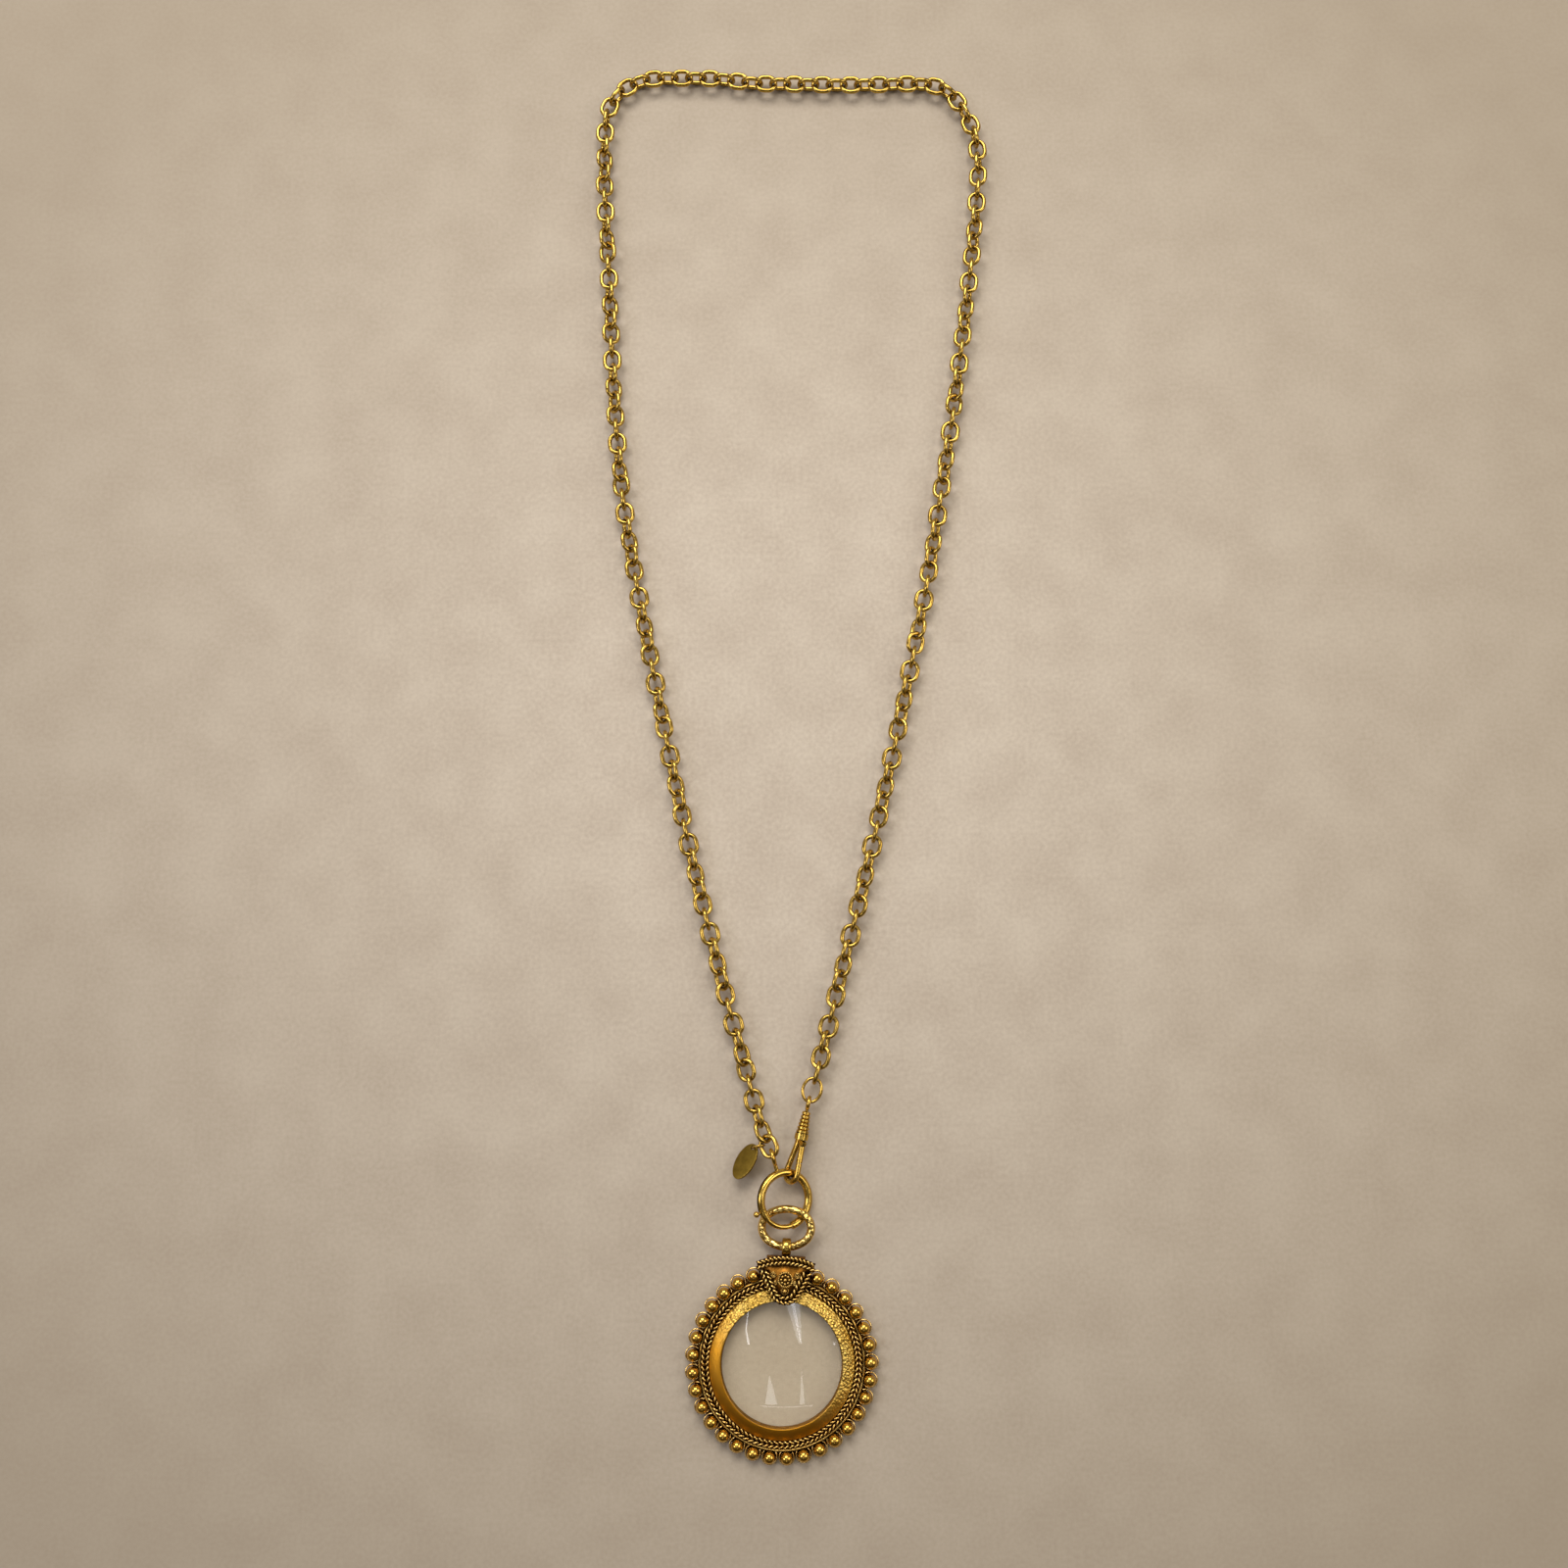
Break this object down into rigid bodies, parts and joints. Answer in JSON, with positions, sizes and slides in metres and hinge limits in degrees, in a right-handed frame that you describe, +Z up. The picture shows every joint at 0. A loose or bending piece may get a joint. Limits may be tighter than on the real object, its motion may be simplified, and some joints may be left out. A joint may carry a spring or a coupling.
{
  "type": "quizzing glass",
  "caption": "Round convex quizzing glass in a granulated gilt bezel with a shield crest, linked by an oval ring and a spring ring to a long gilt chain with a snap clasp and a blank tag.",
  "frame": {"origin": "middle of the footprint, on the surface that the glass and its chain lie on", "axes": "+Z up out of the lens's front face, +Y from the lens up the chain to the top of its loop"},
  "size_m": [0.1234, 0.421, 0.0094],
  "materials": {
    "gilt": "antique gold plate, polished high spots and dark recesses",
    "gilt_dark": "antique gold plate with dark brown patina",
    "gilt_hammered": "bright hammered gold plate",
    "gilt_clasp": "polished gold plate",
    "gilt_chain": "satin antique gold plate",
    "bronze_tag": "worn olive bronze",
    "spring_steel": "drawn wire",
    "lens_glass": "clear polished glass"
  },
  "bodies": {
    "pendant": {"back_plate": "gilt_dark", "lens_seat": "gilt_dark", "lens": "lens_glass", "bezel_band": "gilt", "braid_inner_wire": "gilt", "braid_outer_wire": "gilt", "rim_wire": "gilt", "beads": "gilt", "bead_loops": "gilt", "crest_plate": "gilt", "crest_border_outer": "gilt", "crest_border_inner": "gilt", "cap_rope_lower": "gilt", "cap_rope_upper": "gilt", "crest_rosette": "gilt", "crest_boss": "gilt", "bail_loop": "gilt"},
    "hanging_ring": {"hanging_ring": "gilt_hammered"},
    "spring_ring": {"spring_ring_tube": "gilt_clasp", "bolt_spring": "spring_steel", "spring_ring_eye": "gilt_clasp"},
    "bolt": {"spring_ring_bolt": "gilt_clasp", "spring_ring_knob": "gilt_clasp"},
    "clasp": {"clasp_hook": "gilt_clasp", "gate_pin": "gilt_clasp", "gate_spring": "spring_steel", "clasp_barrel": "gilt_clasp", "left_chain_00": "gilt_chain"},
    "gate": {"clasp_gate": "gilt_clasp"},
    "swivel": {"swivel_eye": "gilt_clasp"},
    "tag_ring": {"tag_ring": "gilt_clasp"},
    "tag": {"tag": "bronze_tag"},
    "chain_row_01": {"left_chain_01": "gilt_chain", "right_chain_01": "gilt_chain", "jump_ring": "gilt_clasp"},
    "chain_row_02": {"left_chain_02": "gilt_chain", "right_chain_02": "gilt_chain"},
    "chain_row_03": {"left_chain_03": "gilt_chain", "right_chain_03": "gilt_chain"},
    "chain_row_04": {"left_chain_04": "gilt_chain", "right_chain_04": "gilt_chain"},
    "chain_row_05": {"left_chain_05": "gilt_chain", "right_chain_05": "gilt_chain"},
    "chain_row_06": {"left_chain_06": "gilt_chain", "right_chain_06": "gilt_chain"},
    "chain_row_07": {"left_chain_07": "gilt_chain", "right_chain_07": "gilt_chain"},
    "chain_row_08": {"left_chain_08": "gilt_chain", "right_chain_08": "gilt_chain"},
    "chain_row_09": {"left_chain_09": "gilt_chain", "right_chain_09": "gilt_chain"},
    "chain_row_10": {"left_chain_10": "gilt_chain", "right_chain_10": "gilt_chain"},
    "chain_row_11": {"left_chain_11": "gilt_chain", "right_chain_11": "gilt_chain"},
    "chain_row_12": {"left_chain_12": "gilt_chain", "right_chain_12": "gilt_chain"},
    "chain_top": {"chain_top": "gilt_chain"}
  },
  "joints": [
    {"name": "ring_swing", "type": "hinge", "parent": "pendant", "child": "hanging_ring", "pos_m": [-0.00156, -0.15149, 0.0035], "axis": [0.9903, 0, 0.1392], "range_deg": [-90, 110]},
    {"name": "spring_ring_swing", "type": "hinge", "parent": "hanging_ring", "child": "spring_ring", "pos_m": [-0.00156, -0.14119, 0.0035], "axis": [-0.9903, 0, -0.1392], "range_deg": [-45, 3]},
    {"name": "bolt_slide", "type": "hinge", "parent": "spring_ring", "child": "bolt", "pos_m": [-0.00201, -0.13849, 0.00452], "axis": [-0.454, 0, -0.891], "range_deg": [0, 68], "stiffness_Nm_per_rad": 0.0005, "springref_deg": -11.46, "deforming": ["bolt_spring"]},
    {"name": "clasp_swing", "type": "hinge", "parent": "spring_ring", "child": "clasp", "pos_m": [-0.00006, -0.13132, 0.00353], "axis": [0.667, -0.6382, -0.3844], "range_deg": [-20, 20]},
    {"name": "gate_lever", "type": "hinge", "parent": "clasp", "child": "gate", "pos_m": [0.00297, -0.1231, 0.00457], "axis": [0.7423, -0.1922, -0.6419], "range_deg": [0, 18], "stiffness_Nm_per_rad": 0.0002, "springref_deg": -11.46},
    {"name": "swivel_turn", "type": "hinge", "parent": "clasp", "child": "swivel", "pos_m": [0.00471, -0.11182, 0.00321], "axis": [0.2076, 0.9768, -0.0523], "range_deg": [-20, 20]},
    {"name": "tag_ring_swing", "type": "hinge", "parent": "clasp", "child": "tag_ring", "pos_m": [-0.00882, -0.1237, 0.00462], "axis": [-0.2054, 0.963, -0.1742], "range_deg": [-45, 45]},
    {"name": "tag_swing", "type": "hinge", "parent": "tag_ring", "child": "tag", "pos_m": [-0.01097, -0.12433, 0.00367], "axis": [-0.4215, 0.0736, 0.9038], "range_deg": [-45, 20]},
    {"name": "chain_fold_01", "type": "hinge", "parent": "clasp", "child": "chain_row_01", "pos_m": [-0.00341, -0.10993, 0.0031], "axis": [-0.9824, 0.1864, -0.0102], "range_deg": [-60, 60]},
    {"name": "chain_fold_02", "type": "hinge", "parent": "chain_row_01", "child": "chain_row_02", "pos_m": [-0.00316, -0.08709, 0.00295], "axis": [0.9998, -0.0216, 0.0001], "range_deg": [-60, 60]},
    {"name": "chain_fold_03", "type": "hinge", "parent": "chain_row_02", "child": "chain_row_03", "pos_m": [-0.00333, -0.06106, 0.00295], "axis": [-0.9999, 0.0127, 0], "range_deg": [-60, 60]},
    {"name": "chain_fold_04", "type": "hinge", "parent": "chain_row_03", "child": "chain_row_04", "pos_m": [-0.00332, -0.03494, 0.00295], "axis": [1, -0.0098, 0], "range_deg": [-60, 60]},
    {"name": "chain_fold_05", "type": "hinge", "parent": "chain_row_04", "child": "chain_row_05", "pos_m": [-0.00317, -0.0087, 0.00295], "axis": [-1, 0.0091, 0], "range_deg": [-60, 60]},
    {"name": "chain_fold_06", "type": "hinge", "parent": "chain_row_05", "child": "chain_row_06", "pos_m": [-0.00264, 0.01542, 0.00295], "axis": [0.9988, 0.0486, 0], "range_deg": [-60, 60]},
    {"name": "chain_fold_07", "type": "hinge", "parent": "chain_row_06", "child": "chain_row_07", "pos_m": [-0.00301, 0.0396, 0.00295], "axis": [-1, 0.0078, 0], "range_deg": [-60, 60]},
    {"name": "chain_fold_08", "type": "hinge", "parent": "chain_row_07", "child": "chain_row_08", "pos_m": [-0.00309, 0.0661, 0.00295], "axis": [1, -0.0068, 0], "range_deg": [-60, 60]},
    {"name": "chain_fold_09", "type": "hinge", "parent": "chain_row_08", "child": "chain_row_09", "pos_m": [-0.0022, 0.09052, 0.00295], "axis": [-0.9994, -0.0354, 0], "range_deg": [-60, 60]},
    {"name": "chain_fold_10", "type": "hinge", "parent": "chain_row_09", "child": "chain_row_10", "pos_m": [-0.00162, 0.11502, 0.00295], "axis": [1, -0.0092, 0], "range_deg": [-60, 60]},
    {"name": "chain_fold_11", "type": "hinge", "parent": "chain_row_10", "child": "chain_row_11", "pos_m": [-0.00063, 0.14179, 0.00295], "axis": [-0.9999, 0.0104, 0], "range_deg": [-60, 60]},
    {"name": "chain_fold_12", "type": "hinge", "parent": "chain_row_11", "child": "chain_row_12", "pos_m": [0, 0.16634, 0.00295], "axis": [0.9996, 0.0275, 0], "range_deg": [-60, 60]},
    {"name": "chain_fold_13", "type": "hinge", "parent": "chain_row_12", "child": "chain_top", "pos_m": [-0.00013, 0.18873, 0.00295], "axis": [-0.9988, 0.0492, 0], "range_deg": [-60, 60]}
  ]
}
